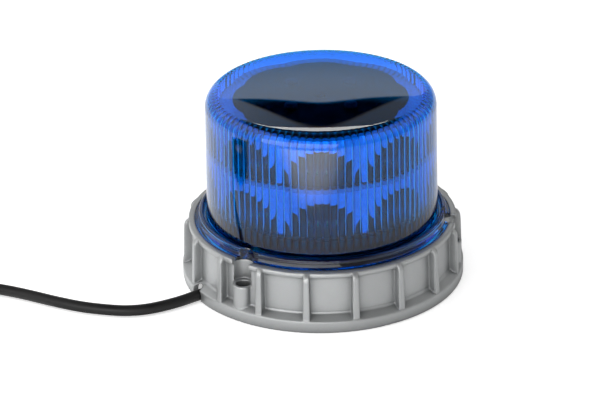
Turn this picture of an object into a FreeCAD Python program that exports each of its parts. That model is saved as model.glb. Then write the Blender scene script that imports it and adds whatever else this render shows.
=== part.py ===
"""A bolt-down LED warning beacon: die-cast foot, twist-off lens and two tiers of reflector bowls.

Millimetres and degrees. The origin is the centre of the foot's underside, +Z is up and -Y is the front.
"""

import FreeCAD, Part

import math
import os

import Sketcher
from FreeCAD import Placement, Rotation, Vector

doc = FreeCAD.newDocument("Beacon")
sheet = doc.addObject("Spreadsheet::Sheet", "Sizes")

# Driving dimensions: alias, value, meaning. Radii step inwards from the foot rim by named widths.
SIZES = (
    ("rim_radius", 83.5, "outside of the foot"),
    ("rim_height", 7.2, "upright edge of the foot"),
    ("rim_wall", 3.2, "wall of the foot edge"),
    ("rim_round", 1.0, "rounding of the foot's lower edge"),
    ("ledge_width", 5.5, "step from the rim in to the ribbed panel"),
    ("ledge_rise", 3.4, "height of that sloping step"),
    ("panel_lean", 0.6, "draft of the ribbed panel over its height"),
    ("panel_wall", 3.0, "wall of the ribbed panel"),
    ("lip_bead", 1.9, "overhang of the top bead"),
    ("lip_height", 2.8, "height of the top bead"),
    ("lip_round", 0.8, "rounding of the top bead"),
    ("lip_width", 3.7, "top bead, outside to inside"),
    ("base_height", 36.0, "top of the foot casting"),
    ("seat_depth", 2.15, "lens seat below the top bead"),
    ("seat_width", 6.6, "lens seat, bead to seal groove"),
    ("seal_width", 3.0, "width of the lens seal"),
    ("seal_height", 2.85, "height of the lens seal"),
    ("seal_gap", 0.1, "play of the seal in its groove, a side"),
    ("seal_wall", 1.3, "wall between the seal groove and the cup"),
    ("deck_wall", 3.0, "metal under the seal groove"),
    ("cup_wall", 3.0, "wall of the sealed cup"),
    ("floor_wall", 3.0, "high floor of the cup"),
    ("well_wall", 3.0, "upright wall of the centre well"),
    ("well_floor", 2.0, "floor of the centre well"),
    ("well_lift", 0.5, "underside of the well above the mounting plane"),
    ("rib_count", 18, "ribs round the panel"),
    ("rib_angle", 3.0, "direction of the first rib"),
    ("rib_inset", 0.3, "rib face behind the rim face, at the foot"),
    ("rib_lean", 1.2, "rib face leaning in over its height"),
    ("rib_width", 3.1, "rib width at the top"),
    ("rib_round", 4.8, "rounding of the rib's upper corner"),
    ("rib_foot_width", 4.0, "rib width at the foot"),
    ("bolt_count", 3, "mounting bolts"),
    ("bolt_angle", -7.0, "direction of the first mounting bolt"),
    ("bolt_inset", 7.0, "bolt centre in from the rim"),
    ("bolt_hole", 4.5, "radius of the mounting hole, for an M8 bolt"),
    ("boss_radius", 6.1, "mounting boss"),
    ("boss_height", 21.8, "clamping face of the mounting boss"),
    ("recess_radius", 6.3, "room for the bolt head and its socket"),
    ("recess_wall", 2.5, "wall behind that room"),
    ("web_count", 6, "webs under the foot"),
    ("web_width", 2.4, "thickness of a web"),
    ("lug_count", 3, "bayonet lugs"),
    ("lug_reach", 2.3, "foot lug, in from the cup wall"),
    ("lug_drop", 3.85, "foot lug's top below the lens seat"),
    ("lug_height", 3.0, "height of a foot lug"),
    ("foot_lug_arc", 26.0, "arc of a foot lug, in degrees"),
    ("lens_lug_arc", 22.0, "arc of a lens lug, in degrees"),
    ("fit_gap", 0.1, "running clearance of the lens in the foot"),
    ("lens_lift", 0.05, "clearance under the lens flange and over the lens lugs"),
    ("flange_gap", 0.3, "lens flange inside the bead"),
    ("flange_height", 2.4, "thickness of the lens flange"),
    ("step_width", 2.3, "flange edge in to the ridge"),
    ("ridge_width", 2.9, "width of the ridge on the flange"),
    ("ridge_height", 4.9, "height of the ridge on the flange"),
    ("ridge_round", 1.7, "rounding of the ridge's top"),
    ("moat_width", 1.8, "groove between ridge and lens wall"),
    ("moat_depth", 3.4, "depth of that groove"),
    ("lens_lean", 0.9, "draft of the lens wall over its height"),
    ("lens_wall", 3.2, "lens wall at its top"),
    ("crown_wall", 2.8, "lens crown"),
    ("shoulder_radius", 9.3, "rounding from the lens wall to its crown"),
    ("crown_radius", 424.0, "dome of the lens crown"),
    ("spigot_wall", 2.0, "wall of the lens spigot"),
    ("spigot_lug", 3.3, "height of a lens lug"),
    ("flute_count", 96, "flutes inside the lens"),
    ("flute_depth", 0.75, "depth of a flute"),
    ("flute_drop", 4.5, "flutes' lower end above the lens flange"),
    ("optic_gap", 5.5, "lens wall in to the reflector lobes"),
    ("bowl_count", 8, "reflector bowls a tier"),
    ("lobe_radius", 38.0, "rounding of a reflector lobe"),
    ("bowl_focus", 5.2, "focal length of a bowl"),
    ("led_depth", 18.5, "light source in from the lobe face"),
    ("reflector_height", 28.0, "height of a reflector"),
    ("reflector_roof", 2.5, "top web of a reflector"),
    ("reflector_back", 2.0, "wall behind a bowl"),
    ("board_wall", 1.6, "thickness of every circuit board"),
    ("board_inset", 1.0, "light board's edge in from the lobes"),
    ("pad_wall", 0.3, "heat-conducting pad"),
    ("pad_inset", 2.0, "heat-conducting pad's edge in from the lobes"),
    ("plate_wall", 2.4, "heat plate between the tiers"),
    ("plate_inset", 0.4, "heat plate's edge in from the lobes"),
    ("cover_wall", 2.0, "top cover"),
    ("cover_inset", 1.6, "top cover's edge in from the lobes"),
    ("tower_lift", 12.5, "lower light board's face above the foot casting"),
    ("crown_gap", 9.2, "top cover up to the outside of the crown"),
    ("column_share", 0.65, "centre column, as a share of the room between the tie posts"),
    ("column_wall", 4.0, "wall of the centre column"),
    ("tie_count", 4, "tie screws"),
    ("tie_inset", 10.8, "tie screw in from the bowl vertex"),
    ("tie_radius", 2.0, "shank of a tie screw"),
    ("tie_bite", 3.0, "tie screw into the heat sink"),
    ("tie_head_radius", 3.8, "head of a tie screw"),
    ("tie_head_height", 2.6, "head height of a tie screw"),
    ("tie_boss", 4.2, "post round a tie screw"),
    ("screw_gap", 0.1, "clearance round every screw shank"),
    ("sink_roof", 3.4, "top plate of the heat sink"),
    ("sink_skirt", 2.5, "wall of the heat sink's outer skirt"),
    ("skirt_drop", 9.0, "height of that skirt"),
    ("sink_wall", 3.0, "drum wall of the heat sink"),
    ("sink_foot", 9.4, "foot ring, outside the drum"),
    ("foot_wall", 3.0, "thickness of the foot ring"),
    ("foot_gap", 0.7, "foot ring inside the lens spigot"),
    ("well_step", 3.0, "drum wall in to the centre well"),
    ("sink_screw_count", 6, "screws in the foot ring"),
    ("sink_bite", 2.4, "those screws into the cup floor"),
    ("led_side", 3.5, "side of a light source"),
    ("led_height", 0.8, "height of a light source"),
    ("led_dome", 1.4, "dome of a light source"),
    ("socket_length", 8.0, "cable socket on a light board, along the wires"),
    ("socket_width", 6.0, "and across"),
    ("socket_height", 4.6, "and in height"),
    ("socket_gap", 4.0, "light board socket from the centre column"),
    ("slot_width", 7.0, "wire slot in the centre column"),
    ("driver_gap", 1.0, "driver board inside the centre well"),
    ("driver_lift", 4.0, "driver board above the cup floor"),
    ("post_radius", 3.4, "post under the driver board"),
    ("post_inset", 4.6, "post centre in from the driver board's edge"),
    ("post_count", 4, "posts under the driver board"),
    ("board_screw_radius", 1.5, "shank of a small screw"),
    ("board_screw_length", 9.0, "length of a small screw"),
    ("board_head_radius", 2.8, "head of a small screw"),
    ("board_head_height", 2.0, "head height of a small screw"),
    ("capacitor_radius", 5.0, "electrolytic capacitor"),
    ("capacitor_height", 14.0, "height of a capacitor"),
    ("capacitor_inset", 12.0, "capacitor centre in from the board's edge"),
    ("inductor_side", 12.0, "side of an inductor"),
    ("inductor_height", 8.0, "height of an inductor"),
    ("inductor_share", 0.573, "inductor from the axis, as a share of the way to the posts"),
    ("inductor_count", 2, "inductors"),
    ("chip_length", 9.0, "length of a chip"),
    ("chip_width", 6.5, "width of a chip"),
    ("chip_height", 1.8, "height of a chip"),
    ("chip_offset", 21.0, "chip from the axis"),
    ("chip_count", 2, "chips"),
    ("harness_length", 14.0, "harness socket along the wires' row"),
    ("harness_width", 8.0, "harness socket across"),
    ("harness_height", 6.0, "harness socket height"),
    ("wire_radius", 0.8, "wires up the tower"),
    ("wire_pitch", 2.6, "spacing of wires in a pair"),
    ("pair_share", 0.39, "pair of wires from the axis, as a share of the column's bore"),
    ("cable_radius", 3.25, "supply cable"),
    ("cable_gap", 0.05, "clearance of the cable in its gland"),
    ("cable_angle", -152.5, "direction in which the cable leaves"),
    ("notch_width", 9.8, "cable notch in the rim"),
    ("notch_height", 7.3, "height of that notch"),
    ("gland_sleeve", 1.35, "wall of the gland's sleeve"),
    ("gland_flange", 5.5, "radius of the gland's flange"),
    ("gland_flange_wall", 2.0, "thickness of the gland's flange"),
    ("gland_boss", 13.0, "width of the flat boss for the gland"),
    ("gland_boss_rise", 1.2, "boss beyond the well wall, a side"),
    ("gland_gap", 0.4, "gland nut above the well floor"),
    ("nut_flat", 5.4, "gland nut, centre to flat"),
    ("nut_wall", 3.4, "thickness of the gland nut"),
    ("jacket_tail", 1.4, "cable jacket past the gland nut"),
    ("terminal_length", 10.0, "cable terminal along the cable"),
    ("terminal_width", 12.0, "and across"),
    ("terminal_height", 9.0, "and in height"),
    ("terminal_gap", 14.0, "gland nut to the cable terminal"),
    ("core_radius", 1.0, "insulated core of the cable"),
    ("core_pitch", 3.0, "spacing of the cores"),
    ("tip_radius", 0.65, "stripped and tinned core end"),
    ("tip_length", 8.0, "length of that end"),
    ("vent_radius", 4.0, "breather plug through the well floor"),
    ("vent_flange", 6.0, "head of the breather plug"),
    ("vent_height", 2.2, "height of that head"),
    ("vent_offset", 18.0, "breather plug from the axis"),
    ("coil_radius", 36.0, "cable coil to the middle of its turns"),
    ("coil_bundle", 9.75, "radius of the bundle of turns"),
)


class Size:
    """A number together with the sheet expression that gives it."""

    def __init__(self, value, text):
        self.value = value
        self.text = text

    def __add__(self, other):
        other = as_size(other)
        return Size(self.value + other.value, f"({self.text} + {other.text})")

    def __sub__(self, other):
        other = as_size(other)
        return Size(self.value - other.value, f"({self.text} - {other.text})")

    def __mul__(self, other):
        other = as_size(other)
        return Size(self.value * other.value, f"({self.text} * {other.text})")

    def __truediv__(self, other):
        other = as_size(other)
        return Size(self.value / other.value, f"({self.text} / {other.text})")

    def __neg__(self):
        return Size(-self.value, f"(-{self.text})")


def as_size(number):
    return number if isinstance(number, Size) else Size(float(number), repr(float(number)))


def root(size):
    return Size(math.sqrt(size.value), f"sqrt({size.text})")


def sine(angle):
    return Size(math.sin(math.radians(angle.value)), f"sin({angle.text})")


def cosine(angle):
    return Size(math.cos(math.radians(angle.value)), f"cos({angle.text})")


class Driving:
    """The driving dimensions, written to the sheet and read back as Size values."""

    def __init__(self, rows):
        for number, (alias, value, meaning) in enumerate(rows, start=1):
            sheet.set(f"A{number}", meaning)
            sheet.set(f"B{number}", str(value))
            sheet.setAlias(f"B{number}", alias)
            setattr(self, alias, Size(float(value), f"Sizes.{alias}"))


S = Driving(SIZES)
doc.recompute()


def bind(item, prop, size):
    """Ties a property to the sheet."""
    item.setExpression(prop, as_size(size).text)


# ---------------------------------------------------------------- sketches and features


def new_body(label, turn=None, lift=None):
    """A body for one sub-part, turned about Z and lifted where asked."""
    body = doc.addObject("PartDesign::Body", label)
    body.Label = label
    angle = turn.value if turn else 0.0
    body.Placement = Placement(Vector(0, 0, 0), Rotation(Vector(0, 0, 1), angle))
    if turn:
        bind(body, "Placement.Rotation.Angle", turn)
    if lift:
        bind(body, "Placement.Base.z", lift)
    return body


def origin_feature(body, role):
    return next(item for item in body.Origin.OriginFeatures if item.Role == role)


def new_sketch(body, name, role):
    sketch = body.newObject("Sketcher::SketchObject", name)
    sketch.AttachmentSupport = (origin_feature(body, role), [""])
    sketch.MapMode = "FlatFace"
    return sketch


def section_sketch(body, name):
    """A sketch in the radial plane: x is the radius and y the height."""
    return new_sketch(body, name, "XZ_Plane")


def plan_sketch(body, name, level=None, turn=None):
    """A level sketch at a height, turned about Z."""
    sketch = new_sketch(body, name, "XY_Plane")
    angle = turn.value if turn else 0.0
    sketch.AttachmentOffset = Placement(Vector(0, 0, 0), Rotation(Vector(0, 0, 1), angle))
    if turn:
        bind(sketch, "AttachmentOffset.Rotation.Angle", turn)
    if level:
        bind(sketch, "AttachmentOffset.Base.z", level)
    return sketch


def upright_sketch(body, name, distance, turn):
    """A sketch standing across a direction, at a distance from the axis: x sideways, y up."""
    sketch = new_sketch(body, name, "YZ_Plane")
    sketch.AttachmentOffset = Placement(Vector(0, 0, 0), Rotation(Vector(0, 1, 0), turn.value))
    bind(sketch, "AttachmentOffset.Rotation.Angle", turn)
    bind(sketch, "AttachmentOffset.Base.x", distance * sine(turn))
    bind(sketch, "AttachmentOffset.Base.z", distance * cosine(turn))
    return sketch


def pin(sketch, shape, position, x, y):
    """Fixes a point of the sketch at (x, y) from its origin."""
    for kind, size, axis in (("DistanceX", as_size(x), -2), ("DistanceY", as_size(y), -1)):
        if size.value == 0:
            sketch.addConstraint(Sketcher.Constraint("PointOnObject", shape, position, axis))
        else:
            index = sketch.addConstraint(Sketcher.Constraint(kind, -1, 1, shape, position, size.value))
            bind(sketch, f"Constraints[{index}]", size)


def arc_through(start, end, radius):
    """The minor arc between two points; a positive radius turns left on the way."""
    chord = end - start
    across = Vector(-chord.y, chord.x, 0).normalize()
    reach = abs(radius) - math.sqrt(max(radius**2 - chord.Length**2 / 4, 0))
    middle = (start + end) / 2
    if radius > 0:
        return Part.Arc(start, middle - across * reach, end)
    return Part.Arc(end, middle + across * reach, start)


def outline(sketch, corners):
    """A closed outline. A corner is (x, y), or (x, y, radius) where an arc leads to the next one."""
    spots = [Vector(as_size(c[0]).value, as_size(c[1]).value, 0) for c in corners]
    ends = []
    for number, corner in enumerate(corners):
        start, end = spots[number], spots[(number + 1) % len(spots)]
        if len(corner) == 3:
            radius = as_size(corner[2])
            shape = sketch.addGeometry(arc_through(start, end, radius.value), False)
            index = sketch.addConstraint(Sketcher.Constraint("Radius", shape, abs(radius.value)))
            bind(sketch, f"Constraints[{index}]", radius if radius.value > 0 else -radius)
            ends.append((shape, 1, 2) if radius.value > 0 else (shape, 2, 1))
        else:
            shape = sketch.addGeometry(Part.LineSegment(start, end), False)
            ends.append((shape, 1, 2))
    for number, corner in enumerate(corners):
        shape, first, last = ends[number]
        following = ends[(number + 1) % len(ends)]
        sketch.addConstraint(Sketcher.Constraint("Coincident", shape, last, following[0], following[1]))
        pin(sketch, shape, first, corner[0], corner[1])


def rectangle(sketch, x, y, length, width):
    """A rectangle centred on (x, y)."""
    left, right = x - length / 2, x + length / 2
    front, back = y - width / 2, y + width / 2
    outline(sketch, [(left, front), (right, front), (right, back), (left, back)])


def circle(sketch, x, y, radius):
    shape = sketch.addGeometry(Part.Circle(Vector(as_size(x).value, as_size(y).value, 0),
                                           Vector(0, 0, 1), as_size(radius).value), False)
    index = sketch.addConstraint(Sketcher.Constraint("Radius", shape, as_size(radius).value))
    bind(sketch, f"Constraints[{index}]", radius)
    pin(sketch, shape, 3, x, y)


def axis_line(sketch, x):
    """A construction line up the sketch at x, to turn a profile about."""
    reach = 10.0
    shape = sketch.addGeometry(Part.LineSegment(Vector(x.value, 0, 0), Vector(x.value, reach, 0)), True)
    pin(sketch, shape, 1, x, 0)
    sketch.addConstraint(Sketcher.Constraint("Vertical", shape))
    sketch.addConstraint(Sketcher.Constraint("DistanceY", shape, 1, shape, 2, reach))


def extrude(body, kind, sketch, name, length, both_ways=False, reverse=False, taper=None):
    feature = body.newObject(kind, name)
    feature.Profile = sketch
    bind(feature, "Length", length)
    feature.Reversed = reverse
    if both_ways:
        feature.SideType = "Symmetric"
    if taper:
        bind(feature, "TaperAngle", taper)
    body.Tip = feature
    return feature


def pad(body, sketch, name, length, **options):
    return extrude(body, "PartDesign::Pad", sketch, name, length, **options)


def pocket(body, sketch, name, length, **options):
    """Cuts along the sketch's normal, so upwards from a level sketch."""
    return extrude(body, "PartDesign::Pocket", sketch, name, length, reverse=True, **options)


def turn_about(body, kind, sketch, name, axis="V_Axis", angle=None):
    feature = body.newObject(kind, name)
    feature.Profile = sketch
    feature.ReferenceAxis = (sketch, [axis])
    if angle:
        bind(feature, "Angle", angle)
        feature.Midplane = True
    else:
        feature.Angle = 360
    body.Tip = feature
    return feature


def revolve(body, sketch, name, **options):
    return turn_about(body, "PartDesign::Revolution", sketch, name, **options)


def groove(body, sketch, name, **options):
    return turn_about(body, "PartDesign::Groove", sketch, name, **options)


def ring_of(body, feature, name, count):
    """Repeats a feature evenly about Z."""
    pattern = body.newObject("PartDesign::PolarPattern", name)
    pattern.Originals = [feature]
    pattern.Axis = (origin_feature(body, "Z_Axis"), [""])
    pattern.Angle = 360
    bind(pattern, "Occurrences", count)
    body.Tip = pattern
    return pattern


def lathe(label, corners, **placing):
    """A sub-part turned about Z from one outline."""
    body = new_body(label, **placing)
    sketch = section_sketch(body, f"{label}_section")
    outline(sketch, corners)
    revolve(body, sketch, f"{label}_turned")
    return body


def block_ring(label, count, turn, radius, level, length, width, height):
    """Equal blocks standing round the axis."""
    body = new_body(label, turn=turn)
    sketch = plan_sketch(body, f"{label}_plan", level)
    rectangle(sketch, radius, as_size(0), length, width)
    block = pad(body, sketch, f"{label}_block", height)
    ring_of(body, block, f"{label}_ring", count)
    return body


def screw_ring(label, count, turn, radius, seat, shank, length, head, head_height):
    """Pan-head screws standing round the axis, head down on `seat`."""
    body = new_body(label, turn=turn)
    sketch = section_sketch(body, f"{label}_section")
    axis_line(sketch, radius)
    outline(sketch, [(radius, seat - length), (radius + shank, seat - length), (radius + shank, seat),
                     (radius + head, seat), (radius + head, seat + head_height / 2, head_height),
                     (radius + head - head_height / 2, seat + head_height), (radius, seat + head_height)])
    screw = revolve(body, sketch, f"{label}_turned", axis="Axis0")
    ring_of(body, screw, f"{label}_ring", count)
    return body


# ---------------------------------------------------------------- derived sizes

ZERO = as_size(0)
far = S.rim_radius + S.recess_radius + S.recess_wall

panel_radius = S.rim_radius - S.ledge_width
panel_foot = S.rim_height + S.ledge_rise
panel_top_radius = panel_radius - S.panel_lean
lip_radius = panel_top_radius + S.lip_bead
lip_inner = lip_radius - S.lip_width
panel_top = S.base_height - S.lip_height - S.lip_bead
seat_level = S.base_height - S.seat_depth
groove_outer = lip_inner - S.seat_width
groove_inner = groove_outer - S.seal_width - S.seal_gap * 2
groove_level = seat_level - S.seal_height
deck_level = groove_level - S.deck_wall
cup_radius = groove_inner - S.seal_wall
lug_radius = cup_radius - S.lug_reach
lug_top = seat_level - S.lug_drop
bolt_radius = S.rim_radius - S.bolt_inset

spigot_radius = lug_radius - S.fit_gap
spigot_inner = spigot_radius - S.spigot_wall
lens_lug_top = lug_top - S.lug_height - S.lens_lift
spigot_level = lens_lug_top - S.spigot_lug

foot_radius = spigot_inner - S.foot_gap
drum_radius = foot_radius - S.sink_foot
drum_inner = drum_radius - S.sink_wall
well_radius = drum_inner - S.well_step
well_top = S.well_lift + S.well_floor
gland_level = well_top + S.nut_flat + S.gland_gap
floor_level = gland_level + S.gland_flange + S.gland_gap
floor_top = floor_level + S.floor_wall

flange_level = seat_level + S.lens_lift
flange_top = flange_level + S.flange_height
flange_radius = lip_inner - S.flange_gap
ridge_radius = flange_radius - S.step_width
ridge_inner = ridge_radius - S.ridge_width
ridge_top = flange_top + S.ridge_height
lens_foot_radius = ridge_inner - S.moat_width
lens_top_radius = lens_foot_radius - S.lens_lean
lens_inner = lens_top_radius - S.lens_wall

lobe_reach = lens_inner - S.optic_gap
led_radius = lobe_reach - S.led_depth
bowl_vertex = led_radius - S.bowl_focus
lower_level = S.base_height + S.tower_lift
sink_top = lower_level - S.board_wall - S.pad_wall
plate_level = lower_level + S.reflector_height
upper_level = plate_level + S.plate_wall + S.pad_wall + S.board_wall
cover_level = upper_level + S.reflector_height
cover_top = cover_level + S.cover_wall
lens_top = cover_top + S.crown_gap
tie_circle = bowl_vertex - S.tie_inset
column_radius = (tie_circle - S.tie_boss) * S.column_share
column_inner = column_radius - S.column_wall
pair_offset = column_inner * S.pair_share
socket_start = column_radius + S.socket_gap

driver_level = floor_top + S.driver_lift
driver_top = driver_level + S.board_wall
driver_radius = well_radius - S.driver_gap
post_circle = driver_radius - S.post_inset
half_post = as_size(180) / S.post_count
post_angle = S.cable_angle + half_post
inductor_offset = post_circle * S.inductor_share
half_tie = as_size(180) / S.tie_count
tie_angle = half_tie
sink_screw_circle = (drum_radius + foot_radius) / 2

nut_start = well_radius - S.gland_boss_rise - S.nut_wall
jacket_end = nut_start - S.jacket_tail
terminal_face = nut_start - S.terminal_gap


# ---------------------------------------------------------------- foot casting


def foot_ribs():
    """The ribs round the foot: wider at their feet, rounded to the top bead in side view."""
    body = new_body("foot_ribs")
    root_radius = panel_top_radius - S.panel_wall / 2
    sketch = upright_sketch(body, "rib_plan", root_radius, S.rib_angle)
    foot, top = S.rib_foot_width / 2, S.rib_width / 2
    outline(sketch, [(-foot, S.rim_height), (foot, S.rim_height), (top, S.base_height), (-top, S.base_height)])
    rib = pad(body, sketch, "rib", far - root_radius)
    ring_of(body, rib, "rib_ring", S.rib_count)
    sketch = section_sketch(body, "rib_trim")
    rib_face = S.rim_radius - S.rib_inset
    rib_shoulder = rib_face - S.rib_lean
    crown = S.base_height + S.rib_round
    outline(sketch, [(rib_face, ZERO), (far + S.rib_width, ZERO), (far + S.rib_width, crown),
                     (root_radius - S.rib_round, crown), (root_radius - S.rib_round, S.base_height),
                     (rib_shoulder - S.rib_round, S.base_height, -S.rib_round),
                     (rib_shoulder, S.base_height - S.rib_round)])
    groove(body, sketch, "rib_trimmed")
    return body


def foot_casting():
    """The foot without its ribs: a skirt round a sealed cup, with bolt bosses and a cable notch."""
    body = new_body("foot_casting")

    # Walls behind the bolt recesses, trimmed to the panel's outside.
    sketch = plan_sketch(body, "recess_walls", S.boss_height - S.floor_wall, S.bolt_angle)
    circle(sketch, bolt_radius, ZERO, S.recess_radius + S.recess_wall)
    wall = pad(body, sketch, "recess_wall", seat_level - S.boss_height + S.floor_wall)
    ring_of(body, wall, "recess_wall_ring", S.bolt_count)
    sketch = section_sketch(body, "panel_trim")
    outline(sketch, [(panel_radius - S.panel_wall / 2, ZERO), (far, ZERO), (far, S.base_height),
                     (panel_top_radius - S.panel_wall / 2, S.base_height)])
    groove(body, sketch, "panel_trimmed")

    # The casting itself: skirt, top bead, lens seat, seal groove, cup, high floor and centre well.
    sketch = section_sketch(body, "casting")
    skirt_inner = panel_radius - S.panel_wall
    outline(sketch, [
        (S.rim_radius - S.rim_round, ZERO, S.rim_round), (S.rim_radius, S.rim_round),
        (S.rim_radius, S.rim_height), (panel_radius + S.ledge_rise / 3, panel_foot - S.ledge_rise / 3,
                                       -S.ledge_rise / 2),
        (panel_radius, panel_foot + S.ledge_rise / 3),
        (panel_top_radius, panel_top, -S.lip_bead), (lip_radius, panel_top + S.lip_bead),
        (lip_radius, S.base_height - S.lip_round, S.lip_round), (lip_radius - S.lip_round, S.base_height),
        (lip_inner, S.base_height), (lip_inner, seat_level), (groove_outer, seat_level),
        (groove_outer, groove_level), (groove_inner, groove_level), (groove_inner, seat_level),
        (cup_radius, seat_level), (cup_radius, floor_top), (well_radius, floor_top),
        (well_radius, well_top), (ZERO, well_top), (ZERO, S.well_lift),
        (well_radius + S.well_wall, S.well_lift), (well_radius + S.well_wall, floor_level),
        (cup_radius + S.cup_wall, floor_level), (cup_radius + S.cup_wall, deck_level),
        (panel_top_radius - S.panel_wall, deck_level), (skirt_inner, panel_foot),
        (S.rim_radius - S.rim_wall, S.rim_height), (S.rim_radius - S.rim_wall, ZERO)])
    revolve(body, sketch, "casting_turned")
    sketch = section_sketch(body, "seal_groove")
    outline(sketch, [(groove_inner, groove_level), (groove_outer, groove_level),
                     (groove_outer, S.base_height), (groove_inner, S.base_height)])
    groove(body, sketch, "seal_groove_cut")

    # Webs under the floor, from the well out to the skirt, in line with and between the bolts.
    sketch = plan_sketch(body, "web_plan", S.well_lift, S.bolt_angle)
    web_start = well_radius + S.well_wall / 2
    web_end = panel_radius - S.panel_wall / 2
    rectangle(sketch, (web_start + web_end) / 2, ZERO, web_end - web_start, S.web_width)
    web = pad(body, sketch, "web", floor_level + S.floor_wall / 2 - S.well_lift)
    ring_of(body, web, "web_ring", S.web_count)

    # Bolt bosses with their holes, and the open recess above each.
    sketch = plan_sketch(body, "boss_plan", None, S.bolt_angle)
    circle(sketch, bolt_radius, ZERO, S.boss_radius)
    boss = pad(body, sketch, "boss", S.boss_height)
    ring_of(body, boss, "boss_ring", S.bolt_count)
    sketch = plan_sketch(body, "recess_plan", S.boss_height, S.bolt_angle)
    circle(sketch, bolt_radius, ZERO, S.recess_radius)
    recess = pocket(body, sketch, "recess", S.base_height)
    ring_of(body, recess, "recess_ring", S.bolt_count)
    sketch = plan_sketch(body, "bolt_plan", None, S.bolt_angle)
    circle(sketch, bolt_radius, ZERO, S.bolt_hole)
    bolt = pocket(body, sketch, "bolt_hole", S.base_height)
    ring_of(body, bolt, "bolt_hole_ring", S.bolt_count)

    # Bayonet lugs in the cup.
    sketch = section_sketch(body, "lug_section")
    outline(sketch, [(lug_radius, lug_top - S.lug_height), (cup_radius + S.cup_wall / 2, lug_top - S.lug_height),
                     (cup_radius + S.cup_wall / 2, lug_top), (lug_radius, lug_top)])
    lug = revolve(body, sketch, "lug", angle=S.foot_lug_arc)
    ring_of(body, lug, "lug_ring", S.lug_count)

    # Flat boss and hole for the gland, and the notch that lets the cable out under the rim.
    boss_start = well_radius - S.gland_boss_rise
    boss_depth = S.well_wall + S.gland_boss_rise * 2
    sketch = upright_sketch(body, "gland_boss_plan", boss_start, S.cable_angle)
    rectangle(sketch, ZERO, (S.well_lift + floor_top) / 2, S.gland_boss, floor_top - S.well_lift)
    pad(body, sketch, "gland_boss", boss_depth)
    sketch = upright_sketch(body, "gland_hole_plan", boss_start, S.cable_angle)
    circle(sketch, ZERO, gland_level, S.cable_radius + S.gland_sleeve + S.screw_gap)
    pocket(body, sketch, "gland_hole", boss_depth)
    sketch = upright_sketch(body, "notch_plan", web_end, S.cable_angle)
    outline(sketch, [(-S.notch_width / 2, -S.rim_round), (S.notch_width / 2, -S.rim_round),
                     (S.notch_width / 2, S.notch_height - S.cable_radius, S.notch_width / 2),
                     (ZERO, S.notch_height - S.cable_radius + S.notch_width / 2, S.notch_width / 2),
                     (-S.notch_width / 2, S.notch_height - S.cable_radius)])
    pocket(body, sketch, "notch", S.ledge_width * 3)

    # Posts under the driver board, the breather hole, and the threaded holes.
    sketch = plan_sketch(body, "post_plan", S.well_lift, post_angle)
    circle(sketch, post_circle, ZERO, S.post_radius)
    post = pad(body, sketch, "post", driver_level - S.well_lift)
    ring_of(body, post, "post_ring", S.post_count)
    sketch = plan_sketch(body, "post_hole_plan", driver_top - S.board_screw_length, post_angle)
    circle(sketch, post_circle, ZERO, S.board_screw_radius + S.screw_gap)
    hole = pocket(body, sketch, "post_hole", S.board_screw_length)
    ring_of(body, hole, "post_hole_ring", S.post_count)
    sketch = plan_sketch(body, "sink_hole_plan", floor_top - S.sink_bite)
    circle(sketch, sink_screw_circle, ZERO, S.board_screw_radius + S.screw_gap)
    hole = pocket(body, sketch, "sink_hole", S.sink_bite)
    ring_of(body, hole, "sink_hole_ring", S.sink_screw_count)
    sketch = plan_sketch(body, "vent_plan", None, S.cable_angle)
    circle(sketch, S.vent_offset, ZERO, S.vent_radius + S.screw_gap)
    pocket(body, sketch, "vent_hole", well_top)
    return body


def base_housing():
    """The die-cast foot in one piece."""
    casting = doc.addObject("Part::Fuse", "base_housing")
    casting.Base = foot_casting()
    casting.Tool = foot_ribs()
    return casting


# ---------------------------------------------------------------- lens, seal and fittings of the foot


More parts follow.
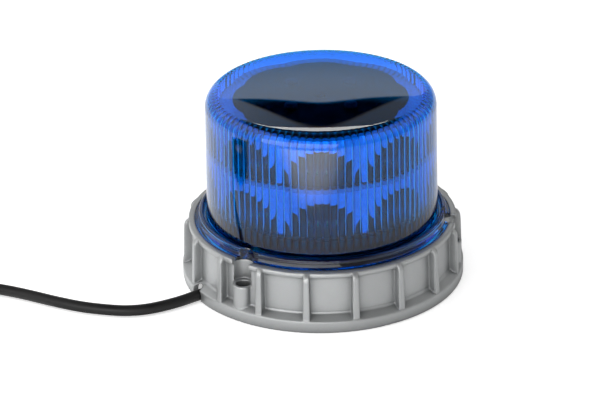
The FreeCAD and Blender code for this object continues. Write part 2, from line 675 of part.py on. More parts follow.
def lens():
    """The blue moulding: flange, ridge, fluted wall, rounded shoulder, shallow dome and bayonet spigot."""
    body = new_body("lens")
    shoulder_centre = lens_top_radius - S.shoulder_radius
    sphere_level = lens_top - S.crown_radius
    reach = S.crown_radius - S.shoulder_radius
    wall_top = sphere_level + root(reach * reach - shoulder_centre * shoulder_centre)
    spread = S.crown_radius / reach
    inner_radius = S.crown_radius - S.crown_wall
    inner_round = S.shoulder_radius - S.lens_wall
    inner_spread = inner_radius / (inner_radius - inner_round)
    inner_centre = lens_inner - inner_round
    inner_reach = inner_radius - inner_round
    inner_top = sphere_level + root(inner_reach * inner_reach - inner_centre * inner_centre)
    half_ridge = S.ridge_width / 2
    ridge_side = ridge_top - S.ridge_round + root(S.ridge_round * S.ridge_round - half_ridge * half_ridge)
    shelf = flange_top + S.flute_drop
    sketch = section_sketch(body, "lens_section")
    outline(sketch, [
        (spigot_inner, spigot_level), (spigot_radius, spigot_level), (spigot_radius, flange_level),
        (flange_radius, flange_level), (flange_radius, flange_top), (ridge_radius, flange_top),
        (ridge_radius, ridge_side, S.ridge_round), (ridge_inner, ridge_side),
        (ridge_inner, ridge_top - S.moat_depth), (lens_foot_radius, ridge_top - S.moat_depth),
        (lens_top_radius, wall_top, S.shoulder_radius),
        (shoulder_centre * spread, sphere_level + (wall_top - sphere_level) * spread, S.crown_radius),
        (ZERO, lens_top), (ZERO, lens_top - S.crown_wall, -inner_radius),
        (inner_centre * inner_spread, sphere_level + (inner_top - sphere_level) * inner_spread,
         -inner_round),
        (lens_inner, inner_top), (lens_inner, shelf), (spigot_inner, shelf - lens_inner + spigot_inner)])
    revolve(body, sketch, "lens_turned")

    # Lugs under the foot's lugs, and notches in line with the bolt recesses.
    sketch = section_sketch(body, "lens_lug_section")
    lug_face = cup_radius - S.flange_gap
    outline(sketch, [(spigot_radius - S.spigot_wall / 2, spigot_level), (lug_face, spigot_level),
                     (lug_face, lens_lug_top), (spigot_radius - S.spigot_wall / 2, lens_lug_top)])
    lug = revolve(body, sketch, "lens_lug", angle=S.lens_lug_arc)
    ring_of(body, lug, "lens_lug_ring", S.lug_count)
    sketch = plan_sketch(body, "lens_notch_plan", seat_level, S.bolt_angle)
    circle(sketch, bolt_radius, ZERO, S.recess_radius)
    notch = pocket(body, sketch, "lens_notch", ridge_top - seat_level + S.ridge_width)
    ring_of(body, notch, "lens_notch_ring", S.bolt_count)

    # Flutes down the inside of the wall.
    sketch = plan_sketch(body, "flute_plan", shelf + S.flute_depth)
    half = lens_inner * sine(as_size(180) / S.flute_count)
    outline(sketch, [(lens_inner - S.flute_depth, -half * 2), (lens_inner + S.flute_depth, ZERO),
                     (lens_inner - S.flute_depth, half * 2)])
    flute = pocket(body, sketch, "flute", inner_top - shelf - S.flute_depth)
    ring_of(body, flute, "flute_ring", S.flute_count)
    return body


def lens_seal():
    inner = groove_inner + S.seal_gap
    outer = inner + S.seal_width
    return lathe("lens_seal", [(inner, groove_level), (outer, groove_level), (outer, seat_level),
                               (inner, seat_level)])


def along_cable(label):
    """A body whose X axis runs out along the cable at the gland's height."""
    return new_body(label, turn=S.cable_angle, lift=gland_level)


def cable_gland():
    """Rubber bush: a sleeve through the well wall with a flange outside."""
    body = along_cable("cable_gland")
    start = nut_start
    end = well_radius + S.well_wall + S.gland_boss_rise
    sleeve = S.cable_radius + S.gland_sleeve
    sketch = section_sketch(body, "gland_section")
    bore = S.cable_radius + S.cable_gap
    outline(sketch, [(start, bore), (end + S.gland_flange_wall, bore),
                     (end + S.gland_flange_wall, S.gland_flange), (end, S.gland_flange), (end, sleeve),
                     (start, sleeve)])
    revolve(body, sketch, "gland_turned", axis="H_Axis")
    return body


def gland_nut():
    """Hexagon nut that draws the gland tight from inside the well, one flat downwards."""
    body = along_cable("gland_nut")
    sketch = new_sketch(body, "nut_plan", "YZ_Plane")
    bind(sketch, "AttachmentOffset.Base.z", nut_start)
    corner = S.nut_flat / cosine(as_size(30))
    half_side = corner / 2
    outline(sketch, [(corner, ZERO), (half_side, S.nut_flat), (-half_side, S.nut_flat), (-corner, ZERO),
                     (-half_side, -S.nut_flat), (half_side, -S.nut_flat)])
    circle(sketch, ZERO, ZERO, S.cable_radius + S.gland_sleeve + S.screw_gap)
    pad(body, sketch, "nut", S.nut_wall)
    return body


def vent_plug():
    """Breather plug, pushed up through the well floor from inside."""
    body = new_body("vent_plug", turn=S.cable_angle)
    sketch = section_sketch(body, "vent_section")
    axis_line(sketch, S.vent_offset)
    outline(sketch, [(S.vent_offset, S.well_lift), (S.vent_offset + S.vent_radius, S.well_lift),
                     (S.vent_offset + S.vent_radius, well_top), (S.vent_offset + S.vent_flange, well_top),
                     (S.vent_offset + S.vent_flange, well_top + S.vent_height),
                     (S.vent_offset, well_top + S.vent_height)])
    revolve(body, sketch, "vent_turned", axis="Axis0")
    return body


# ---------------------------------------------------------------- driver board in the cup


def driver_board():
    body = new_body("driver_board", turn=post_angle)
    sketch = plan_sketch(body, "driver_plan", driver_level)
    circle(sketch, ZERO, ZERO, driver_radius)
    pad(body, sketch, "driver", S.board_wall)
    sketch = plan_sketch(body, "driver_hole_plan", driver_level)
    circle(sketch, post_circle, ZERO, S.board_screw_radius + S.screw_gap)
    hole = pocket(body, sketch, "driver_hole", S.board_wall)
    ring_of(body, hole, "driver_hole_ring", S.post_count)
    return body


def board_screws():
    return screw_ring("board_screws", S.post_count, post_angle, post_circle, driver_top,
                      S.board_screw_radius, S.board_screw_length, S.board_head_radius,
                      S.board_head_height)


def board_capacitors():
    """Upright cans with a groove round their foot, between the screws."""
    body = new_body("board_capacitors", turn=S.cable_angle)
    centre = driver_radius - S.capacitor_inset
    side = centre + S.capacitor_radius
    waist = S.capacitor_radius / 8
    sketch = section_sketch(body, "capacitor_section")
    axis_line(sketch, centre)
    outline(sketch, [(centre, driver_top), (side, driver_top), (side, driver_top + waist * 2),
                     (side - waist, driver_top + waist * 3), (side, driver_top + waist * 4),
                     (side, driver_top + S.capacitor_height), (centre, driver_top + S.capacitor_height)])
    can = revolve(body, sketch, "capacitor", axis="Axis0")
    ring_of(body, can, "capacitor_ring", S.post_count)
    return body


def board_inductors():
    """Square shielded coils with cut corners."""
    body = new_body("board_inductors", turn=S.cable_angle + half_post)
    half = S.inductor_side / 2
    cut = S.inductor_side / 6
    near, back = inductor_offset - half, inductor_offset + half
    sketch = plan_sketch(body, "inductor_plan", driver_top)
    outline(sketch, [(near + cut, -half), (back - cut, -half), (back, cut - half), (back, half - cut),
                     (back - cut, half), (near + cut, half), (near, half - cut), (near, cut - half)])
    coil = pad(body, sketch, "inductor", S.inductor_height)
    ring_of(body, coil, "inductor_ring", S.inductor_count)
    return body


def board_chips():
    return block_ring("board_chips", S.chip_count, S.cable_angle - half_post, S.chip_offset, driver_top,
                      S.chip_length, S.chip_width, S.chip_height)


def cable_terminal():
    """Clamp block under the driver board, its mouth towards the gland."""
    body = new_body("cable_terminal", turn=S.cable_angle)
    sketch = plan_sketch(body, "terminal_plan", driver_level - S.terminal_height)
    rectangle(sketch, terminal_face - S.terminal_length / 2, ZERO, S.terminal_length, S.terminal_width)
    pad(body, sketch, "terminal", S.terminal_height)
    return body


def harness_socket():
    body = new_body("harness_socket")
    sketch = plan_sketch(body, "harness_plan", driver_top)
    rectangle(sketch, ZERO, ZERO, S.harness_length, S.harness_width)
    pad(body, sketch, "harness", S.harness_height)
    return body


# ---------------------------------------------------------------- optic tower


def heat_sink():
    """Cast drum on the cup floor: foot ring, drum, roof plate and a short skirt round the roof."""
    roof = sink_top - S.sink_roof
    edge = lobe_reach - S.plate_inset
    skirt_end = sink_top - S.skirt_drop
    body = lathe("heat_sink", [
        (drum_inner, floor_top), (foot_radius, floor_top), (foot_radius, floor_top + S.foot_wall),
        (drum_radius, floor_top + S.foot_wall), (drum_radius, roof), (edge - S.sink_skirt, roof),
        (edge - S.sink_skirt, skirt_end), (edge, skirt_end), (edge, sink_top), (column_inner, sink_top),
        (column_inner, roof), (drum_inner, roof)])
    sketch = plan_sketch(body, "sink_tie_plan", roof, tie_angle)
    circle(sketch, tie_circle, ZERO, S.tie_radius + S.screw_gap)
    hole = pocket(body, sketch, "sink_tie_hole", S.sink_roof)
    ring_of(body, hole, "sink_tie_ring", S.tie_count)
    sketch = plan_sketch(body, "sink_foot_plan", floor_top)
    circle(sketch, sink_screw_circle, ZERO, S.board_screw_radius + S.screw_gap)
    hole = pocket(body, sketch, "sink_foot_hole", S.foot_wall)
    ring_of(body, hole, "sink_foot_ring", S.sink_screw_count)
    return body


def sink_screws():
    return screw_ring("sink_screws", S.sink_screw_count, None, sink_screw_circle,
                      floor_top + S.foot_wall, S.board_screw_radius, S.foot_wall + S.sink_bite,
                      S.board_head_radius, S.board_head_height)


def centre_column():
    """Tube between the tiers, with a slot at its foot for the lower wires."""
    body = lathe("centre_column", [(column_inner, sink_top), (column_radius, sink_top),
                                   (column_radius, plate_level), (column_inner, plate_level)])
    sketch = plan_sketch(body, "slot_plan", lower_level)
    rectangle(sketch, column_radius, ZERO, S.column_wall * 3, S.slot_width)
    pocket(body, sketch, "slot", S.socket_height)
    return body


def lobed(body, inset, height, level=None):
    """Fills the eight-lobed outline of a tier, drawn in by `inset`."""
    sketch = plan_sketch(body, f"{body.Name}_lobe_plan", level)
    circle(sketch, lobe_reach - S.lobe_radius, ZERO, S.lobe_radius - inset)
    lobe = pad(body, sketch, f"{body.Name}_lobe", height)
    ring_of(body, lobe, f"{body.Name}_lobes", S.bowl_count)


def tie_holes(body, height, level=None):
    sketch = plan_sketch(body, f"{body.Name}_tie_plan", level, tie_angle)
    circle(sketch, tie_circle, ZERO, S.tie_radius + S.screw_gap)
    hole = pocket(body, sketch, f"{body.Name}_tie_hole", height)
    ring_of(body, hole, f"{body.Name}_tie_ring", S.tie_count)


def lobed_plate(label, level, height, inset, bore=None):
    """A flat piece of the tower with the tie screws' holes and, where asked, a centre bore."""
    body = new_body(label)
    lobed(body, inset, height, level)
    tie_holes(body, height, level)
    if bore:
        sketch = plan_sketch(body, f"{label}_bore_plan", level)
        circle(sketch, ZERO, ZERO, bore)
        pocket(body, sketch, f"{label}_bore", height)
    return body


def bowl_profile(body):
    """Half a parabola in the radial plane, opening outwards, its focus at the light source.

    Three poles give it exactly: the middle one stands over the vertex at half the mouth's radius.
    """
    sketch = section_sketch(body, f"{body.Name}_bowl_section")
    mouth = lobe_reach + S.board_inset * 2
    reach = root(S.bowl_focus * (mouth - bowl_vertex) * 4)
    poles = [(bowl_vertex, ZERO), (bowl_vertex, reach / 2), (mouth, reach)]
    curve = Part.BSplineCurve()
    curve.buildFromPolesMultsKnots([Vector(x.value, y.value, 0) for x, y in poles], [3, 3], [0, 1], False, 2)
    bowl = sketch.addGeometry(curve, False)
    sketch.exposeInternalGeometry(bowl)
    for number, (x, y) in enumerate(poles, start=1):
        pin(sketch, bowl + number, 3, x, y)
    start, end, foot = (Vector(x.value, y.value, 0) for x, y in (poles[0], poles[2], (mouth, ZERO)))
    wall = sketch.addGeometry(Part.LineSegment(end, foot), False)
    axis = sketch.addGeometry(Part.LineSegment(foot, start), False)
    pin(sketch, axis, 1, mouth, ZERO)
    sketch.addConstraint(Sketcher.Constraint("Coincident", bowl, 2, wall, 1))
    sketch.addConstraint(Sketcher.Constraint("Coincident", wall, 2, axis, 1))
    sketch.addConstraint(Sketcher.Constraint("Coincident", axis, 2, bowl, 1))
    return sketch


def reflector(label, level):
    """A tier's metallised moulding: lobed block with a parabolic half-bowl over each light source."""
    body = new_body(label, lift=level)
    lobed(body, ZERO, S.reflector_height)
    sketch = plan_sketch(body, f"{label}_core_plan")
    circle(sketch, ZERO, ZERO, bowl_vertex - S.reflector_back)
    pocket(body, sketch, f"{label}_core", S.reflector_height - S.reflector_roof)
    sketch = plan_sketch(body, f"{label}_bore_plan")
    circle(sketch, ZERO, ZERO, column_radius + S.screw_gap)
    pocket(body, sketch, f"{label}_bore", S.reflector_height)
    sketch = plan_sketch(body, f"{label}_post_plan", None, tie_angle)
    circle(sketch, tie_circle, ZERO, S.tie_boss)
    post = pad(body, sketch, f"{label}_post", S.reflector_height - S.reflector_roof / 2)
    ring_of(body, post, f"{label}_posts", S.tie_count)
    tie_holes(body, S.reflector_height)
    bowl = groove(body, bowl_profile(body), f"{label}_bowl", axis="H_Axis")
    ring_of(body, bowl, f"{label}_bowls", S.bowl_count)
    return body


def light_sources(label, level):
    """Square packages with a round lens, one at the focus of each bowl."""
    body = new_body(label)
    sketch = plan_sketch(body, f"{label}_plan", level)
    rectangle(sketch, led_radius, ZERO, S.led_side, S.led_side)
    package = pad(body, sketch, f"{label}_package", S.led_height)
    ring_of(body, package, f"{label}_packages", S.bowl_count)
    sketch = plan_sketch(body, f"{label}_dome_plan", level)
    circle(sketch, led_radius, ZERO, S.led_dome)
    dome = pad(body, sketch, f"{label}_dome", S.led_height + S.led_dome / 2)
    ring_of(body, dome, f"{label}_domes", S.bowl_count)
    return body


def led_sockets():
    """Wire sockets on the two light boards, one above the other."""
    body = new_body("led_sockets")
    centre = socket_start + S.socket_length / 2
    for name, level in (("lower", lower_level), ("upper", upper_level)):
        sketch = plan_sketch(body, f"socket_plan_{name}", level)
        rectangle(sketch, centre, ZERO, S.socket_length, S.socket_width)
        pad(body, sketch, f"socket_{name}", S.socket_height)
    return body


def tie_screws():
    return screw_ring("tie_screws", S.tie_count, tie_angle, tie_circle, cover_top, S.tie_radius,
                      cover_top - sink_top + S.tie_bite, S.tie_head_radius, S.tie_head_height)


# ---------------------------------------------------------------- wires and the supply cable


def bent_path(points):
    """Straight runs joined by tangent arcs, each arc as large as its two runs allow."""
    edges, radii = [], []
    start = points[0]
    for before, corner, after in zip(points, points[1:], points[2:]):
        back, ahead = before - corner, after - corner
        half_turn = (math.pi - back.getAngle(ahead)) / 2
        reach = 0.45 * min(back.Length, ahead.Length)
        radius = reach / math.tan(half_turn)
        back.normalize()
        ahead.normalize()
        first, last = corner + back * reach, corner + ahead * reach
        inward = (back + ahead).normalize()
        middle = corner + inward * (radius / math.cos(half_turn) - radius)
        edges += [Part.LineSegment(start, first).toShape(), Part.Arc(first, middle, last).toShape()]
        radii.append(radius)
        start = last
    edges.append(Part.LineSegment(start, points[-1]).toShape())
    return Part.Wire(edges), radii


def round_rod(points, radius):
    """A rod of one round section along a bent path."""
    path, radii = bent_path(points)
    end = Part.Wire(Part.makeCircle(radius, points[0], points[1] - points[0]))
    rod = path.makePipeShell([end], True, True)
    expected = math.pi * radius**2 * path.Length
    print(f"rod {path.Length:7.1f} long, smallest bend {min(radii, default=0):5.1f}, "
          f"volume over section times length {rod.Volume / expected:.4f}")
    return rod


def rods(label, routes, radius, turn=0.0):
    """One sub-part made of a rod along each route."""
    shapes = [round_rod([Vector(*point) for point in route], radius) for route in routes]
    part = doc.addObject("Part::Feature", label)
    part.Shape = shapes[0] if len(shapes) == 1 else Part.makeCompound(shapes)
    part.Placement = Placement(Vector(0, 0, 0), Rotation(Vector(0, 0, 1), turn))
    return part


def tower_wires():
    """A pair of wires up to each light board's socket."""
    start = (driver_top + S.harness_height).value
    side = S.wire_pitch.value / 2
    face = socket_start.value
    routes = []
    for across, level in ((pair_offset, lower_level), (-pair_offset, upper_level)):
        height = (level + S.socket_height / 2).value
        for y in (-side, side):
            routes.append([(across.value, y, start), (across.value, y, height), (face, y, height)])
    return rods("tower_wires", routes, S.wire_radius.value)


def inner_cores():
    """The cable's two cores from the stripped jacket up into the terminal."""
    entry = (driver_level - S.terminal_height / 2).value
    gap = (jacket_end - terminal_face).value
    near, far_off = jacket_end.value - gap * 0.3, jacket_end.value - gap * 0.7
    side = S.core_pitch.value / 2
    routes = [[(jacket_end.value, y, gland_level.value), (near, y, gland_level.value),
               (far_off, y, entry), (terminal_face.value, y, entry)] for y in (-side, side)]
    return rods("inner_cores", routes, S.core_radius.value, S.cable_angle.value)


# The cable's way out of the gland, under the rim, over the ground and up to its coil.
CABLE_ROUTE = [
    (-34.0, -17.7, 8.3), (-50.6, -26.3, 8.3), (-66.0, -34.9, 3.5), (-75.7, -41.3, 3.3),
    (-82.4, -46.4, 3.3), (-90.2, -51.0, 3.3), (-98.2, -54.9, 3.3), (-106.2, -57.3, 3.3),
    (-114.3, -57.9, 3.3), (-122.5, -57.0, 3.3), (-139.0, -53.0, 3.3), (-155.9, -45.4, 3.3),
    (-173.2, -35.9, 3.3), (-190.4, -28.0, 3.3), (-208.0, -22.4, 3.3), (-226.5, -19.2, 3.3),
    (-245.0, -18.1, 3.3),
]
# From the coil to the end of the jacket, and the two cores beyond it.
TAIL_ROUTE = [
    (-301.0, -73.0, 3.3), (-302.0, -87.0, 3.3), (-305.5, -101.0, 3.3), (-311.0, -114.0, 3.3),
]
CORE_ROUTES = [
    [(-309.9, -115.0, 3.3), (-311.9, -121.0, 2.6), (-312.2, -129.5, 1.4), (-309.5, -137.5, 1.1)],
    [(-312.8, -113.9, 3.3), (-315.8, -119.6, 2.6), (-320.6, -126.2, 1.4), (-326.8, -131.0, 1.1)],
]
COIL_CENTRE = (-262.0, -57.0)


def supply_cable():
    return rods("supply_cable", [CABLE_ROUTE], S.cable_radius.value)


def cable_coil():
    """The outer shape of the coiled length."""
    coil = doc.addObject("Part::Torus", "cable_coil")
    bind(coil, "Radius1", S.coil_radius)
    bind(coil, "Radius2", S.coil_bundle)
    coil.Placement = Placement(Vector(*COIL_CENTRE, 0), Rotation())
    bind(coil, "Placement.Base.z", S.coil_bundle)
    return coil


def cable_tail():
    return rods("cable_tail", [TAIL_ROUTE], S.cable_radius.value)


def cable_cores():
    return rods("cable_cores", CORE_ROUTES, S.core_radius.value)


def core_tips():
    """The stripped and tinned ends, straight on from the cores."""
    routes = []
    for route in CORE_ROUTES:
        end, ahead = Vector(*route[-1]), Vector(*route[-1]) - Vector(*route[-2])
        ahead.z = 0
        routes.append([end, end + ahead.normalize() * S.tip_length.value])
    return rods("core_tips", routes, S.tip_radius.value)


# ---------------------------------------------------------------- the assembly

SUB_PARTS = [
    base_housing(), lens(), lens_seal(), cable_gland(), gland_nut(), vent_plug(),
    driver_board(), board_screws(), board_capacitors(), board_inductors(), board_chips(),
    cable_terminal(), harness_socket(), inner_cores(),
    heat_sink(), sink_screws(), centre_column(),
    lobed_plate("thermal_pad_lower", sink_top, S.pad_wall, S.pad_inset, column_radius + S.screw_gap),
    lobed_plate("led_board_lower", lower_level - S.board_wall, S.board_wall, S.board_inset,
                column_radius + S.screw_gap),
    light_sources("leds_lower", lower_level),
    reflector("reflector_lower", lower_level),
    lobed_plate("heat_plate", plate_level, S.plate_wall, S.plate_inset, column_inner),
    lobed_plate("thermal_pad_upper", plate_level + S.plate_wall, S.pad_wall, S.pad_inset, column_inner),
    lobed_plate("led_board_upper", upper_level - S.board_wall, S.board_wall, S.board_inset, column_inner),
    light_sources("leds_upper", upper_level),
    reflector("reflector_upper", upper_level),
    lobed_plate("top_cover", cover_level, S.cover_wall, S.cover_inset),
    tie_screws(), led_sockets(), tower_wires(),
    supply_cable(), cable_coil(), cable_tail(), cable_cores(), core_tips(),
]


def check_and_write():
    """Every object must have built soundly before any file is written."""
    doc.recompute()
    for item in doc.Objects:
        if "Invalid" in item.State or "Error" in item.State:
            raise RuntimeError(f"{item.Name} failed: {item.State}")
    for part in SUB_PARTS:
        if part.Shape.isNull() or not part.Shape.isValid() or not part.Shape.Solids:
            raise RuntimeError(f"{part.Label} has no sound shape")
    os.makedirs("parts", exist_ok=True)
    for part in SUB_PARTS:
        part.Shape.exportStep(f"parts/{part.Label}.step")
        print(f"{part.Label:20s} {len(part.Shape.Solids):3d} solids {part.Shape.Volume:12.1f} mm3")


check_and_write()
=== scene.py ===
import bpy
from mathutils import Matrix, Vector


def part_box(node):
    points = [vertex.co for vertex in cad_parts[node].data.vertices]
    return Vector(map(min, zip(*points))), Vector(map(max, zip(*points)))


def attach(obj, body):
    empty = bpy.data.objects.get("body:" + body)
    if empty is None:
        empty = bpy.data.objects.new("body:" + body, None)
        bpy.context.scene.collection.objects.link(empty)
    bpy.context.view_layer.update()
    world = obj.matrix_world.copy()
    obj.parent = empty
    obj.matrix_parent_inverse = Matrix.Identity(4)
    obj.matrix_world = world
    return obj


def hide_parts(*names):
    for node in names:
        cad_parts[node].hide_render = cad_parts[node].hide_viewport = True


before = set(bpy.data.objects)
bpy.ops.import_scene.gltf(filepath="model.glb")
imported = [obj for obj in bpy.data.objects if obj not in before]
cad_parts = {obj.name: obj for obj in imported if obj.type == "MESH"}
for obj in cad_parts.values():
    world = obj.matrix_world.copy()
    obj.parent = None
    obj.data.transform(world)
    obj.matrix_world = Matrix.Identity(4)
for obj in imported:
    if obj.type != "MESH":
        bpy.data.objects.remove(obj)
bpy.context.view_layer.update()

import math

import bpy
import numpy as np
from mathutils import Matrix, Vector

# ---------------------------------------------------------------- camera
# A long lens 1.65 m away, aimed at the middle of the lens wall from 27 degrees above. The small turns after that are
# about the camera's own axes: they put the beacon right of the middle, a little low, and level.
DISTANCE, ELEVATION = 1.650, math.radians(26.89)
AIM_HEIGHT = 0.060
YAW, PITCH, ROLL = (math.radians(a) for a in (0.46, -0.48, -0.89))
FOCAL_LENGTH, SENSOR_WIDTH = 165.6, 36

eye = Vector((0, -DISTANCE * math.cos(ELEVATION), DISTANCE * math.sin(ELEVATION)))
facing = (Vector((0, 0, AIM_HEIGHT)) - eye).to_track_quat("-Z", "Y").to_matrix()
for turn, axis in ((YAW, "Y"), (PITCH, "X"), (ROLL, "Z")):
    facing = facing @ Matrix.Rotation(turn, 3, axis)
camera = bpy.data.objects.new("camera", bpy.data.cameras.new("camera"))
camera.matrix_world = Matrix.Translation(eye) @ facing.to_4x4()
camera.data.lens, camera.data.sensor_width = FOCAL_LENGTH, SENSOR_WIDTH
camera.data.clip_start, camera.data.clip_end = 0.1, 30
bpy.context.scene.collection.objects.link(camera)
bpy.context.scene.camera = camera
bpy.context.scene.view_settings.view_transform = "Standard"


# ---------------------------------------------------------------- studio
# A matt white table in a white room, lit by a large softbox overhead, one to the left and a weak one to the right.
# A strip over the backdrop and a window in front are there to be mirrored by the lens. What gloss and glass see of
# the room and the table is a pattern of its own, set for this camera.
MATH, RANGE = "ShaderNodeMath", "ShaderNodeMapRange"
EASED = {"interpolation_type": "SMOOTHSTEP"}


def add(tree, kind, inputs=(), **settings):
    """Adds a node. settings are its attributes. inputs go by name or number, or in a row from the first: each is a
    value, a socket to link, or a node, whose first output is linked."""
    node = tree.nodes.new(kind)
    for name, value in settings.items():
        setattr(node, name, value)
    for name, value in inputs.items() if isinstance(inputs, dict) else enumerate(inputs):
        if isinstance(value, bpy.types.Node):
            value = value.outputs[0]
        if isinstance(value, bpy.types.NodeSocket):
            tree.links.new(value, node.inputs[name])
        else:
            node.inputs[name].default_value = value
    return node


def linear(code):
    """An sRGB hex colour as linear RGBA."""
    values = [int(code[i:i + 2], 16) / 255 for i in (0, 2, 4)]
    return [v / 12.92 if v <= 0.04045 else ((v + 0.055) / 1.055) ** 2.4 for v in values] + [1.0]


def ray_kinds(tree):
    """Camera, transmission and mirror rays, each 1 or 0. A ray through glass counts as glossy too, so the mirror rays
    are the glossy rays less those through glass."""
    path = add(tree, "ShaderNodeLightPath").outputs
    through = path["Is Transmission Ray"]
    mirror = add(tree, MATH, (path["Is Glossy Ray"], through), operation="SUBTRACT", use_clamp=True)
    return path["Is Camera Ray"], through, mirror


world = bpy.data.worlds.new("studio")
world.use_nodes = True
tree = world.node_tree
tree.nodes.clear()
camera_ray, through, mirror = ray_kinds(tree)
x, y, z = add(tree, "ShaderNodeSeparateXYZ", (add(tree, "ShaderNodeTexCoord"),)).outputs
# The backdrop grows lighter up to 30 degrees and ends at a dark gap, whose edges bend down towards the sides.
# side is how far a direction lies to the side for each unit that it goes back.
ahead = add(tree, MATH, (y, 0.02), operation="MAXIMUM")
side = add(tree, MATH, (x, ahead), operation="DIVIDE")
side_squared = add(tree, MATH, (side, side), operation="MULTIPLY")
bend = add(tree, MATH, (side_squared, 0.0012), operation="ADD")
bend = add(tree, MATH, (bend,), operation="SQRT")
gap_foot = add(tree, MATH, (bend, -0.6, 0.535), operation="MULTIPLY_ADD")
below_gap = add(tree, MATH, (gap_foot, z), operation="SUBTRACT")
below_gap = add(tree, MATH, (below_gap, 100.0), operation="MULTIPLY", use_clamp=True)
backdrop = add(tree, RANGE, (z, 0.12, 0.50, 0.15, 0.85), **EASED)
backdrop = add(tree, MATH, (backdrop, below_gap), operation="MULTIPLY")
# The room is dark in front.
room = add(tree, RANGE, (y, -0.3, 0.1, 0.10, 1.0), **EASED)
backdrop = add(tree, MATH, (backdrop, room), operation="MULTIPLY")
# Above the gap is a ceiling, lighter on the left, that ends at 45 degrees.
gap_top = add(tree, MATH, (side_squared, -9.0, 0.62), operation="MULTIPLY_ADD")
above_gap = add(tree, MATH, (z, gap_top), operation="SUBTRACT")
above_gap = add(tree, MATH, (above_gap, 60.0), operation="MULTIPLY", use_clamp=True)
ceiling = add(tree, RANGE, (x, -0.25, 0.05, 0.6, 0.25), **EASED)
ceiling = add(tree, MATH, (ceiling, above_gap), operation="MULTIPLY")
ceiling_end = add(tree, RANGE, (z, 0.66, 0.72, 1.0, 0.06), **EASED)
ceiling = add(tree, MATH, (ceiling, ceiling_end), operation="MULTIPLY")
# The side walls, the left one brighter, both dimmer near the floor.
left_wall = add(tree, RANGE, (x, -0.62, -0.40, 1.0, 0.0), **EASED)
right_wall = add(tree, RANGE, (x, 0.42, 0.66, 0.0, 0.6), **EASED)
walls = add(tree, MATH, (left_wall, right_wall), operation="MAXIMUM")
wall_height = add(tree, RANGE, (z, 0.15, 0.50, 0.3, 1.0), **EASED)
walls = add(tree, MATH, (walls, wall_height), operation="MULTIPLY")
pattern = add(tree, MATH, (ceiling, walls), operation="MAXIMUM")
pattern = add(tree, MATH, (pattern, backdrop), operation="MAXIMUM")
# Glass shows the same, with a plain bright background under the gap.
behind_glass = add(tree, RANGE, (y, -0.3, 0.3, 0.6, 0.9), **EASED)
under_gap = add(tree, RANGE, (z, 0.42, 0.50, 1.0, 0.0), **EASED)
behind_glass = add(tree, MATH, (behind_glass, under_gap), operation="MULTIPLY")
behind_glass = add(tree, MATH, (behind_glass, pattern), operation="MAXIMUM")
behind_glass = add(tree, MATH, (behind_glass, through), operation="MULTIPLY")
mirrored = add(tree, MATH, (pattern, mirror), operation="MULTIPLY")
strength = add(tree, MATH, (mirrored, behind_glass), operation="MAXIMUM")
strength = add(tree, MATH, (strength, camera_ray), operation="MAXIMUM")
seen = add(tree, MATH, (camera_ray, through), operation="MAXIMUM")
seen = add(tree, MATH, (seen, mirror), operation="MAXIMUM")
plain = add(tree, "ShaderNodeBackground", {"Color": linear("ffffff"), "Strength": 0.37})
white = add(tree, "ShaderNodeBackground", {"Color": linear("ffffff"), "Strength": strength})
add(tree, "ShaderNodeOutputWorld", (add(tree, "ShaderNodeMixShader", (seen, plain, white)),))
bpy.context.scene.world = world


def new_material(name):
    """An empty node material, and its tree."""
    material = bpy.data.materials.new(name)
    material.use_nodes = True
    material.node_tree.nodes.clear()
    return material, material.node_tree


# Matt white laminate: it keeps the shadows, and a glow of its own brings it up to white.
TABLE_HALF = 6.0
material, tree = new_material("white_table")
camera_ray, through, mirror = ray_kinds(tree)
x, y = add(tree, "ShaderNodeSeparateXYZ", (add(tree, "ShaderNodeTexCoord").outputs["Object"],)).outputs[:2]
# In gloss the table is bright to the left of the part, from a line just in front of its axis, and dim to the right.
from_line = add(tree, RANGE, (y, -0.050, -0.046, 0.0, 0.38), **EASED)
to_left = add(tree, RANGE, (x, -0.02, 0.02, 1.0, 0.0), **EASED)
left_side = add(tree, MATH, (from_line, to_left), operation="MULTIPLY")
right_side = add(tree, RANGE, (y, 0.0, 0.2, 0.0, 0.2), **EASED)
gloss = add(tree, MATH, (left_side, right_side), operation="MAXIMUM")
# A glow stands for the window's light on the table in front. It is an oval pool that fades out all round, and in
# gloss its middle is brighter than white.
POOL_PLACE, POOL_SIZE = (-0.07, -0.345), (0.21, 0.135)
across = add(tree, MATH, (x, 1 / POOL_SIZE[0], -POOL_PLACE[0] / POOL_SIZE[0]), operation="MULTIPLY_ADD")
along = add(tree, MATH, (y, 1 / POOL_SIZE[1], -POOL_PLACE[1] / POOL_SIZE[1]), operation="MULTIPLY_ADD")
along_squared = add(tree, MATH, (along, along), operation="MULTIPLY")
off_squared = add(tree, MATH, (across, across, along_squared), operation="MULTIPLY_ADD")
pool = add(tree, RANGE, (off_squared, 0.1, 1.0, 2.6, 0.0), **EASED)
gloss = add(tree, MATH, (gloss, pool), operation="MAXIMUM")
